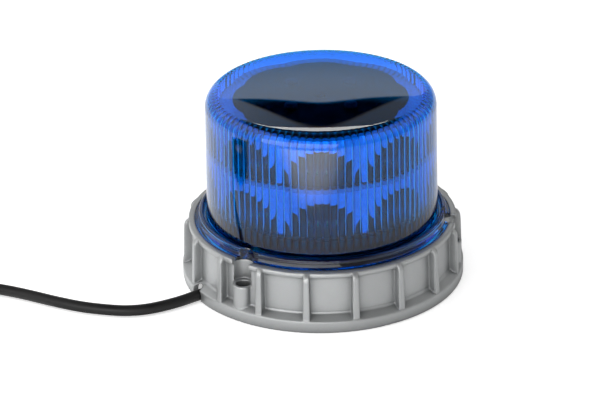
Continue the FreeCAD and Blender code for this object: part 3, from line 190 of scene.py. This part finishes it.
# Through glass it is dim near the part and white further back.
under_glass = add(tree, RANGE, (y, 0.08, 0.25, 0.42, 0.98), **EASED)
pool_under_glass = add(tree, MATH, (pool, 0.7), operation="MULTIPLY")
under_glass = add(tree, MATH, (under_glass, pool_under_glass), operation="MAXIMUM")
lift = add(tree, MATH, (camera_ray, 0.50), operation="MULTIPLY")
lift = add(tree, MATH, (through, under_glass, lift), operation="MULTIPLY_ADD")
lift = add(tree, MATH, (mirror, gloss, lift), operation="MULTIPLY_ADD")
laminate = add(tree, "ShaderNodeBsdfDiffuse", {"Color": linear("f2f2f2")})
glow = add(tree, "ShaderNodeEmission", {"Color": linear("ffffff"), "Strength": lift})
add(tree, "ShaderNodeOutputMaterial", (add(tree, "ShaderNodeAddShader", (laminate, glow)),))
corners = [(-TABLE_HALF, -TABLE_HALF, 0), (TABLE_HALF, -TABLE_HALF, 0),
           (TABLE_HALF, TABLE_HALF, 0), (-TABLE_HALF, TABLE_HALF, 0)]
floor = bpy.data.objects.new("floor", bpy.data.meshes.new("floor"))
floor.data.from_pydata(corners, [], [(0, 1, 2, 3)])
floor.data.materials.append(material)
bpy.context.scene.collection.objects.link(floor)


def softbox(name, place, target, width, height, radiance, glossy=False, through=False):
    """An area lamp that faces target. radiance is what a mirror would show of it, where 1 is white. Without glossy it
    stands for bounced light, which no mirror shows, and without through none of it is seen in glass."""
    lamp = bpy.data.lights.new(name, "AREA")
    lamp.shape, lamp.size, lamp.size_y = "RECTANGLE", width, height
    lamp.energy = radiance * math.pi * width * height
    piece = bpy.data.objects.new(name, lamp)
    aim = Vector(target) - Vector(place)
    piece.matrix_world = Matrix.Translation(place) @ aim.to_track_quat("-Z", "Y").to_matrix().to_4x4()
    piece.visible_camera = False
    piece.visible_glossy, piece.visible_transmission = glossy, through
    bpy.context.scene.collection.objects.link(piece)


softbox("softbox_top", (-0.3, 0.1, 1.5), (0, 0, 0.06), 1.6, 1.5, 1.25)
softbox("softbox_left", (-1.5, -0.2, 0.7), (0, 0, 0.06), 1.2, 1.0, 1.8)
softbox("softbox_right", (1.9, 0.3, 0.6), (0, 0, 0.06), 0.8, 1.0, 0.3)
# The strip over the backdrop draws the thin bright line along the lens shoulder.
softbox("strip_top", (0, 1.05, 1.10), (0, 0, 0.11), 0.55, 0.12, 4.5, glossy=True)
# The window in front reaches from the height of the lens up to 30 degrees, and lights the bowls through the lens.
softbox("window", (-0.42, -1.05, 0.40), (0, 0, 0.09), 1.7, 0.62, 1.9, glossy=True, through=True)


# ---------------------------------------------------------------- supply cable
# Two-core lead, 6.5 mm thick, in an oil-resistant jacket. It leaves its gland under the rim and lies on the table.
# The length that isn't needed is wound into a neat coil, and it ends in two stripped cores.
MM = 0.001


def moulded(name, low, high, grain, rough, depth, **constants):
    """A surface with a grain: noise of `grain` millimetres and one nine times as coarse move the colour between two
    hex values; the coarse one moves the roughness between two numbers, and the fine one moves the surface by `depth`
    millimetres. constants are set on the shader's own sockets, with a _ for each blank in a socket's name."""
    material, tree = new_material(name)
    place = add(tree, "ShaderNodeTexCoord").outputs["Object"]
    fine = add(tree, "ShaderNodeTexNoise", {"Vector": place, "Scale": 1 / (grain * MM), "Detail": 4.0})
    coarse = add(tree, "ShaderNodeTexNoise", {"Vector": place, "Scale": 1 / (grain * 9 * MM), "Detail": 2.0})
    both = add(tree, MATH, (fine, coarse), operation="ADD")
    share = add(tree, RANGE, (both, 0.7, 1.3, 0.0, 1.0))
    colour = add(tree, "ShaderNodeMix", {0: share, 6: linear(low), 7: linear(high)}, data_type="RGBA")
    add(tree, "ShaderNodeOutputMaterial", (add(tree, "ShaderNodeBsdfPrincipled", {
        "Base Color": colour.outputs[2],
        "Roughness": add(tree, RANGE, (coarse, 0.3, 0.7, *rough)),
        "Normal": add(tree, "ShaderNodeBump", {"Height": fine.outputs["Fac"], "Distance": depth * MM,
                                               "Strength": 1.0}),
        **{socket.replace("_", " "): value for socket, value in constants.items()},
    }),))
    return material


# Black polyurethane, extruded: matt, with a faint grain that breaks up its long highlight.
jacket = moulded("extruded_black_jacket", "0a090a", "141313", 1.2, (0.42, 0.56), 0.02)

CABLE_THICKNESS, CABLE_LENGTH = 6.5, 1.67
# Out of the gland at the height of its bore, down to the table, and over it to the top of the coil.
CABLE_ROUTE = [
    (-34.0, -17.7, 8.3), (-50.6, -26.3, 8.3), (-66.0, -34.9, 3.5), (-75.7, -41.3, 3.3),
    (-82.4, -46.4, 3.3), (-90.2, -51.0, 3.3), (-98.2, -54.9, 3.3), (-106.2, -57.3, 3.3),
    (-114.3, -57.9, 3.3), (-122.5, -57.0, 3.3), (-139.0, -53.0, 3.3), (-155.9, -45.4, 3.3),
    (-173.2, -35.9, 3.3), (-190.4, -28.0, 3.3), (-208.0, -22.4, 3.3), (-226.5, -19.2, 3.3),
    (-245.0, -18.1, 3.3),
]
TAIL_ROUTE = [(-301.0, -73.0, 3.3), (-302.0, -87.0, 3.3), (-305.5, -101.0, 3.3), (-311.0, -114.0, 3.3)]
COIL_CENTRE, COIL_RADIUS, COIL_MIDDLE = (-262.0, -57.0), 36.0, 9.75
# Where the seven turns lie in the bundle, as (out, up) from its middle, in cable thicknesses: a hexagonal pack.
LAYER = math.sqrt(3) / 2
TURNS = np.array([(0.5, -LAYER), (-0.5, -LAYER), (-1.0, 0.0), (0.0, 0.0), (-0.5, LAYER), (0.5, LAYER), (1.0, 0.0)])
POINTS_PER_TURN = 16
# A turn keeps its place for this share of its length, and then crosses to the next one's place.
KEPT_SHARE = 0.8


def coil_points():
    """Control points of the coil, one row each. They go round counter-clockwise from its top, where the lead comes
    in, for six and a quarter turns, to its left side, where the tail leaves: at the angle of the turns so far, the
    radius and height are those of this turn's place, moved towards the next turn's place in the turn's last fifth."""
    last = len(TURNS) - 1
    turned = np.arange(1, int(POINTS_PER_TURN * (last + 0.25))) / POINTS_PER_TURN
    this = np.minimum(turned.astype(int), last)
    moved = np.clip((turned - this - KEPT_SHARE) / (1 - KEPT_SHARE), 0, 1)
    place = TURNS[this] + (TURNS[np.minimum(this + 1, last)] - TURNS[this]) * moved[:, None]
    angle = math.pi / 2 + turned * 2 * math.pi
    radius = COIL_RADIUS + CABLE_THICKNESS * place[:, 0]
    return np.column_stack([COIL_CENTRE[0] + radius * np.cos(angle), COIL_CENTRE[1] + radius * np.sin(angle),
                            COIL_MIDDLE + CABLE_THICKNESS * place[:, 1]])


def round_lead(name, points, thickness, material):
    """A round rod along one open NURBS spline, with points, in millimetres, as its control points."""
    data = bpy.data.curves.new(name, "CURVE")
    data.dimensions = "3D"
    data.resolution_u = 8
    data.bevel_depth = thickness / 2 * MM
    data.bevel_resolution = 5
    data.use_fill_caps = True
    spline = data.splines.new("NURBS")
    spline.points.add(len(points) - 1)
    spline.points.foreach_set("co", np.column_stack([points * MM, np.ones(len(points))]).ravel())
    spline.order_u = 3
    spline.use_endpoint_u = True
    data.materials.append(material)
    piece = bpy.data.objects.new(name, data)
    bpy.context.scene.collection.objects.link(piece)
    return piece


lead = round_lead("supply_lead", np.vstack([CABLE_ROUTE, coil_points(), TAIL_ROUTE]), CABLE_THICKNESS, jacket)
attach(lead, "base")
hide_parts("supply_cable", "cable_coil", "cable_tail")


def dress(material, *names):
    """Gives CAD nodes a material."""
    for name in names:
        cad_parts[name].data.materials.clear()
        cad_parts[name].data.materials.append(material)


# Thin extruded sleeves, dark brown with a soft sheen, and tinned strands, twisted and dipped: dull metal, uneven.
dress(moulded("extruded_core_sleeve", "3a1f14", "57301d", 0.8, (0.35, 0.45), 0.01), "cable_cores", "inner_cores")
dress(moulded("tinned_copper_strands", "a39f98", "d5d2cc", 0.3, (0.28, 0.42), 0.05, Metallic=1.0), "core_tips")


# ---------------------------------------------------------------- foot
# An aluminium pressure die casting with eighteen ribs, three bolt recesses and a bead round its top.
# It is blasted and powder painted in satin silver grey. It is bolted down through the recesses.
def cast_paint():
    """Satin silver paint: metal flakes of 0.35 mm, drawn coarse enough to show, give it a faint glitter; orange peel
    of 1.1 mm softens its highlights; casting radii of 1.9 mm round its edges, and painted shade darkens its corners."""
    material, tree = new_material("satin_silver_paint_on_casting")
    place = add(tree, "ShaderNodeTexCoord").outputs["Object"]
    flake = add(tree, "ShaderNodeTexVoronoi", {"Vector": place, "Scale": 1 / (0.35 * MM)})
    peel = add(tree, "ShaderNodeTexNoise", {"Vector": place, "Scale": 1 / (1.1 * MM), "Detail": 3.0})
    cloud = add(tree, "ShaderNodeTexNoise", {"Vector": place, "Scale": 1 / (22 * MM), "Detail": 2.0})
    shade = add(tree, "ShaderNodeMix", {0: cloud, 6: linear("b8babb"), 7: linear("c6c8c8")}, data_type="RGBA")
    glint = add(tree, "ShaderNodeMix", {0: 0.06, 6: shade.outputs[2], 7: flake.outputs["Color"]},
                data_type="RGBA", blend_type="SOFT_LIGHT")
    # Painted shade: where an ambient occlusion node finds other surfaces within 9 mm, the colour turns towards dark
    # grey 5f6163.
    openness = add(tree, "ShaderNodeAmbientOcclusion", {"Distance": 9 * MM}, samples=8).outputs["AO"]
    corner_painted_shade = add(tree, RANGE, (openness, 0.45, 0.95, 0.6, 0.0), **EASED)
    colour_with_painted_shade = add(tree, "ShaderNodeMix", {0: corner_painted_shade, 6: glint.outputs[2], 7: linear("5f6163")}, data_type="RGBA")
    rounded = add(tree, "ShaderNodeBevel", {"Radius": 1.9 * MM}, samples=8)
    add(tree, "ShaderNodeOutputMaterial", (add(tree, "ShaderNodeBsdfPrincipled", {
        "Base Color": colour_with_painted_shade.outputs[2],
        "Roughness": add(tree, RANGE, (peel, 0.3, 0.7, 0.36, 0.48)),
        "Metallic": 0.75,
        "Normal": add(tree, "ShaderNodeBump", {"Height": peel.outputs["Fac"], "Distance": 0.02 * MM,
                                               "Normal": rounded}),
    }),))
    return material


dress(cast_paint(), "base_housing")
# Moulded silicone ring in the groove under the lens flange, and the sleeve round the cable: black, dull and dry.
dress(moulded("moulded_silicone_seal", "0b0b0c", "161617", 0.9, (0.5, 0.62), 0.015), "lens_seal", "cable_gland")
# Glass-filled nylon nut and breather plug, moulded: near black, with a fine rough grain.
dress(moulded("moulded_nylon", "141416", "1f1f22", 0.7, (0.5, 0.6), 0.02), "gland_nut", "vent_plug")


# ---------------------------------------------------------------- driver electronics
# The driver board stands in the foot on four posts, held by screws, with its parts soldered on.
# Sockets and red wires lead from it up to the two tiers.
# Solder mask on glass fibre: dark green, with the shine of a thin lacquer.
dress(moulded("green_solder_mask", "0d3a1e", "134d29", 1.5, (0.25, 0.35), 0.01), "driver_board")
# Zinc plate on turned screws, and drawn aluminium cans: bright metal, the zinc a little cloudy.
dress(moulded("zinc_plated_steel", "9fa0a4", "c4c5c8", 0.6, (0.28, 0.4), 0.01, Metallic=1.0),
      "board_screws", "sink_screws")
dress(moulded("drawn_aluminium_can", "b0b1b5", "c9cacc", 0.8, (0.25, 0.35), 0.01, Metallic=1.0), "board_capacitors")
# Pressed ferrite and moulded epoxy: black, the ferrite gritty and the epoxy smooth.
dress(moulded("pressed_ferrite", "17171a", "242428", 0.5, (0.5, 0.65), 0.03), "board_inductors")
dress(moulded("moulded_epoxy", "0d0d0e", "171718", 0.4, (0.45, 0.55), 0.01), "board_chips")
# Moulded nylon, grey and natural white, and soft red wire sleeves: even, with a weak sheen.
dress(moulded("grey_terminal_nylon", "44484b", "53585b", 0.7, (0.4, 0.5), 0.01), "cable_terminal")
dress(moulded("white_socket_nylon", "d9d5c9", "e6e2d8", 0.7, (0.4, 0.5), 0.01), "harness_socket", "led_sockets")
dress(moulded("red_wire_sleeve", "7d0d0a", "96140f", 0.8, (0.3, 0.4), 0.01), "tower_wires")


# ---------------------------------------------------------------- light tower
# A heat sink, a column and a plate carry two eight-sided tiers of light sources, each under a ring of metallised
# bowls. Long blackened screws tie the tower together, down through its cover.
# Black anodised casting: hardly any shine, with a blasted grain. The plate is rolled, bright and smooth.
dress(moulded("black_anodised_aluminium", "1a1b1d", "28292c", 1.4, (0.4, 0.52), 0.05), "heat_sink", "centre_column")
dress(moulded("rolled_aluminium_plate", "b4b6b9", "cdced0", 1.8, (0.25, 0.35), 0.01, Metallic=1.0), "heat_plate")
# Filled silicone, cast in sheets: grey, soft and without shine.
dress(moulded("filled_silicone_pad", "7c8288", "8d9399", 1.0, (0.6, 0.7), 0.02),
      "thermal_pad_lower", "thermal_pad_upper")
# Black solder mask, so that the boards don't show through the lens, and yellow phosphor under clear silicone.
dress(moulded("dark_board_mask", "15171a", "202327", 2.0, (0.35, 0.45), 0.01), "led_board_lower", "led_board_upper")
dress(moulded("phosphor_under_silicone", "d8c85a", "efe39a", 0.4, (0.15, 0.25), 0.01), "leds_lower", "leds_upper")
# Aluminium evaporated on a moulding and lacquered: a mirror, a little soft, with a slight ripple of the moulding.
dress(moulded("vacuum_metallised_bowl", "d9dadc", "f2f3f4", 2.5, (0.07, 0.13), 0.003, Metallic=1.0),
      "reflector_lower", "reflector_upper")
# Hot blackened steel: black, with a weak shine.
dress(moulded("blackened_steel", "1b1b1d", "28282b", 0.5, (0.4, 0.5), 0.01), "tie_screws")

COVER_REACH, COVER_ROUND, COVER_HOLE = 51.0, 29.8, 3.0
COVER_THICKNESS = 1.2
COVER_POINTS = 320


def lobed_radius(angle, reach, round_radius):
    """Radius of an outline of eight equal lobes: circle arcs of round_radius, each reaching out to reach."""
    centre = reach - round_radius
    off = (angle + np.pi / 8) % (np.pi / 4) - np.pi / 8
    return centre * np.cos(off) + np.sqrt(round_radius ** 2 - (centre * np.sin(off)) ** 2)


def loft(rings):
    """Points and four-sided faces of a closed skin over rings of equal count, from the first, by way of each, and back
    to the first. The faces come as one row of them per ring."""
    count = len(rings[0])
    row = np.arange(len(rings))[:, None] * count
    step = np.arange(count)[None, :]
    next_row, next_step = (row + count) % (len(rings) * count), (step + 1) % count
    faces = np.stack([row + step, row + next_step, next_row + next_step, next_row + step], -1)
    return np.vstack(rings), faces


def mesh_piece(name, points, faces, material, smooth):
    """A mesh of points, in millimetres, and faces."""
    mesh = bpy.data.meshes.new(name)
    mesh.from_pydata((points * MM).tolist(), [], faces)
    mesh.polygons.foreach_set("use_smooth", np.full(len(faces), smooth))
    mesh.update()
    mesh.materials.append(material)
    piece = bpy.data.objects.new(name, mesh)
    bpy.context.scene.collection.objects.link(piece)
    return piece


# The skin's rings as (how far in from the edge, height), with a rounded upper edge; None is the middle hole.
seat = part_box("top_cover")[0][2] / MM
cover_top = seat + COVER_THICKNESS
around = np.arange(COVER_POINTS) * 2 * np.pi / COVER_POINTS
rings = []
for inset, level in ((0, seat), (0, cover_top - 0.8), (0.25, cover_top - 0.2), (0.8, cover_top),
                     (None, cover_top), (None, seat)):
    if inset is None:
        radius = np.full(COVER_POINTS, COVER_HOLE)
    else:
        radius = lobed_radius(around, COVER_REACH - inset, COVER_ROUND - inset)
    rings.append(np.column_stack([radius * np.cos(around), radius * np.sin(around), np.full(COVER_POINTS, level)]))
points, faces = loft(rings)
# Glass-filled nylon, moulded in a blasted tool: black and dull, hardly mirroring anything.
cover = mesh_piece("tower_cover", points, faces.reshape(-1, 4).tolist(),
                   moulded("dark_moulded_cover", "0f0f11", "17171a", 0.9, (0.55, 0.68), 0.02, Specular_IOR_Level=0.1),
                   smooth=False)
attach(cover, "base")
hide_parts("top_cover")


# ---------------------------------------------------------------- lens
# Clear blue polycarbonate in one moulding: flange and ridge, upright wall, rounded shoulder and shallow crown.
# Half-round flutes run down inside the wall and fade out over the shoulder. It turns in a bayonet.
FLUTES, POINTS_PER_FLUTE = 96, 8
FLUTE_DEPTH, FLUTE_ROUND, VALLEY_DEPTH = 0.75, 3.4, 0.7
FADE_START, FADE_END = 57.0, 62.5
FLUTE_FOOT = 41.5
FOOT_INNER, FOOT_OUTER, FOOT_LEVEL = 60.1, 62.1, 23.65
SEAT_LEVEL, FLANGE_RADIUS, FLANGE_ROUND = 33.9, 75.3, 0.4
RIDGE_RADIUS, RIDGE_LEVEL, RIDGE_ROUND = 71.55, 39.9, 1.45
WALL_FOOT, WALL_OUTER, WALL_INNER = 68.28, 67.4, 64.2
TOP, CROWN_RADIUS, CROWN_WALL, SHOULDER_ROUND = 120.0, 424.0, 2.8, 9.3
BOLT_CIRCLE, BOLT_CLEARANCE, BOLT_ANGLE = 76.5, 6.3, math.radians(-7)


def arc(centre, radius, start, end, count):
    """Points (r, z) on a circle round centre, from angle start to end in degrees, 0 pointing outwards."""
    angles = np.radians(np.linspace(start, end, count))
    return np.column_stack([centre[0] + radius * np.cos(angles), centre[1] + radius * np.sin(angles)])


def line(a, b, count):
    """Points (r, z) evenly spaced from a to b."""
    return np.linspace(a, b, count)


def shoulder_centre(wall, crown, rounding):
    """Centre (r, z) of the circle that touches, from inside, the upright wall and the crown's circle round the axis,
    and the angle in degrees where it meets the crown."""
    radius = wall - rounding
    level = crown_level + math.sqrt((crown - rounding) ** 2 - radius ** 2)
    return (radius, level), 90 - math.degrees(math.asin(radius / (crown - rounding)))


crown_level = TOP - CROWN_RADIUS
wall_thickness = WALL_OUTER - WALL_INNER
inner_crown, inner_round = CROWN_RADIUS - CROWN_WALL, SHOULDER_ROUND - wall_thickness
outer_centre, outer_tilt = shoulder_centre(WALL_OUTER, CROWN_RADIUS, SHOULDER_ROUND)
inner_centre, inner_tilt = shoulder_centre(WALL_INNER, inner_crown, inner_round)
outside = np.vstack([
    # The spigot in the foot, the seat on the seal, and the flange with its rounded edge.
    line((FOOT_INNER, FOOT_LEVEL), (FOOT_OUTER, FOOT_LEVEL), 2),
    line((FOOT_OUTER, SEAT_LEVEL), (FLANGE_RADIUS - FLANGE_ROUND, SEAT_LEVEL), 4),
    arc((FLANGE_RADIUS - FLANGE_ROUND, SEAT_LEVEL + FLANGE_ROUND), FLANGE_ROUND, -60, 0, 3),
    arc((FLANGE_RADIUS - 0.5, 35.8), 0.5, 0, 90, 4),
    # The ridge, a half round on the flange, and the small gutter between it and the wall.
    line((73.4, 36.3), (73.0, 36.5), 2), arc((RIDGE_RADIUS, RIDGE_LEVEL), RIDGE_ROUND, 0, 180, 11),
    line((70.1, 38.4), (69.8, 37.9), 2), line((69.4, 37.8), (68.8, 37.8), 2), line((68.35, 38.1), (WALL_FOOT, 38.8), 2),
    # The wall, with a little draft, the shoulder and the crown.
    line((WALL_FOOT, 39.5), (WALL_OUTER, outer_centre[1]), 14)[1:],
    arc(outer_centre, SHOULDER_ROUND, 0, outer_tilt, 18)[1:],
    arc((0, crown_level), CROWN_RADIUS, outer_tilt, 90, 16)[1:],
])
inside = np.vstack([
    # The crown, the shoulder, the fluted wall, the shelf under it and the spigot.
    arc((0, crown_level), inner_crown, 90, inner_tilt, 16),
    arc(inner_centre, inner_round, inner_tilt, 0, 12)[1:],
    line((WALL_INNER, inner_centre[1]), (WALL_INNER, 42.2), 10)[1:],
    line((WALL_INNER, 41.55), (63.4, 40.8), 2), line((FOOT_INNER, 37.0), (FOOT_INNER, FOOT_LEVEL), 4),
])
# The first ring inside follows the last one outside; the two points on the axis are kept apart, as poles.
poles = np.array([(0, 0, outside[-1, 1]), (0, 0, inside[0, 1])])
profile = np.vstack([outside[:-1], inside[1:]])
last_outside = len(outside) - 2


def lens_points():
    """The profile turned round the axis, as rings of points. Inside, the wall bulges towards the axis in circle arcs,
    one per flute, that meet in sharp valleys: a point moves out by the valley's depth less the arc's height there, in
    full on the wall, fading over the shoulder and stopping above the shelf. Outside, the flange stays clear of the
    circles over the three bolts: its radius is at most the near crossing of the ray with the circle."""
    count = FLUTES * POINTS_PER_FLUTE
    angle = np.arange(count) * 2 * np.pi / count
    r, z = profile[:, :1], profile[:, 1:]
    within = np.arange(len(profile))[:, None] > last_outside
    across = ((angle * FLUTES / (2 * np.pi)) % 1 - 0.5) * 2 * np.pi * WALL_INNER / FLUTES
    bulge = np.sqrt(FLUTE_ROUND ** 2 - across ** 2)
    bulge = (bulge - bulge.min()) / (bulge.max() - bulge.min())
    fade = np.clip((r - FADE_START) / (FADE_END - FADE_START), 0, 1) * np.clip((z - FLUTE_FOOT) / 0.7, 0, 1) * within
    radius = r + fade * (VALLEY_DEPTH - FLUTE_DEPTH * bulge)
    off = (angle - BOLT_ANGLE + np.pi / 3) % (2 * np.pi / 3) - np.pi / 3
    beside, before = BOLT_CIRCLE * np.sin(off), BOLT_CIRCLE * np.cos(off)
    crossing = before - np.sqrt(np.clip(BOLT_CLEARANCE ** 2 - beside ** 2, 0, None))
    flange = (z > SEAT_LEVEL - 0.1) & (r > 69.0) & ~within & (np.abs(beside) < BOLT_CLEARANCE)
    radius = np.where(flange, np.minimum(radius, crossing), radius)
    return np.stack([radius * np.cos(angle), radius * np.sin(angle), np.broadcast_to(z, radius.shape)], -1)


def clear_blue():
    """Polycarbonate dyed in the mass: clear, polished, with faint flow marks of 18 mm. Each wall that light goes
    through takes out its red and some of its green, so the blue is deeper where more walls lie behind each other."""
    material, tree = new_material("dyed_polycarbonate")
    place = add(tree, "ShaderNodeTexCoord").outputs["Object"]
    flow = add(tree, "ShaderNodeTexNoise", {"Vector": place, "Scale": 1 / (18 * MM), "Detail": 2.0})
    colour = add(tree, "ShaderNodeMix", {0: flow, 6: linear("00a6f8"), 7: linear("00aafb")}, data_type="RGBA")
    polycarbonate = add(tree, "ShaderNodeBsdfPrincipled", {
        "Base Color": colour.outputs[2], "IOR": 1.58, "Transmission Weight": 1.0,
        "Roughness": add(tree, RANGE, (flow, 0.3, 0.7, 0.0, 0.02)),
    })
    dye = add(tree, "ShaderNodeVolumeAbsorption", {"Color": (0.0, 0.97, 0.998, 1.0), "Density": 600.0})
    add(tree, "ShaderNodeOutputMaterial", {"Surface": polycarbonate, "Volume": dye})
    return material


points, faces = loft(lens_points())
count = faces.shape[1]
step, next_step = np.arange(count), (np.arange(count) + 1) % count
# The two rings next to the poles are closed by a fan each, in place of the faces between them.
outer_ring, inner_ring = last_outside * count, (last_outside + 1) * count
outer_pole, inner_pole = np.full(count, len(points)), np.full(count, len(points) + 1)
outer_fan = np.column_stack([outer_ring + step, outer_ring + next_step, outer_pole])
inner_fan = np.column_stack([inner_ring + next_step, inner_ring + step, inner_pole])
faces = np.delete(faces, last_outside, 0).reshape(-1, 4).tolist() + outer_fan.tolist() + inner_fan.tolist()
shell = mesh_piece("lens_shell", np.vstack([points, poles]), faces, clear_blue(), smooth=True)
# The valleys between the flutes are sharp: the edges that run down along each flute's first column of points.
fluted = (np.arange(len(profile)) > last_outside) & (profile[:, 0] > FADE_START) & (profile[:, 1] > FLUTE_FOOT - 0.5)
ends = np.zeros(len(shell.data.edges) * 2, int)
shell.data.edges.foreach_get("vertices", ends)
row, column = np.divmod(ends.reshape(-1, 2), count)
row = np.minimum(row, len(profile) - 1)
valley = (column[:, 0] == column[:, 1]) & (column[:, 0] % POINTS_PER_FLUTE == 0) & fluted[row].all(axis=1)
shell.data.attributes.new("sharp_edge", "BOOLEAN", "EDGE").data.foreach_set("value", valley)
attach(shell, "lens")
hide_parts("lens")
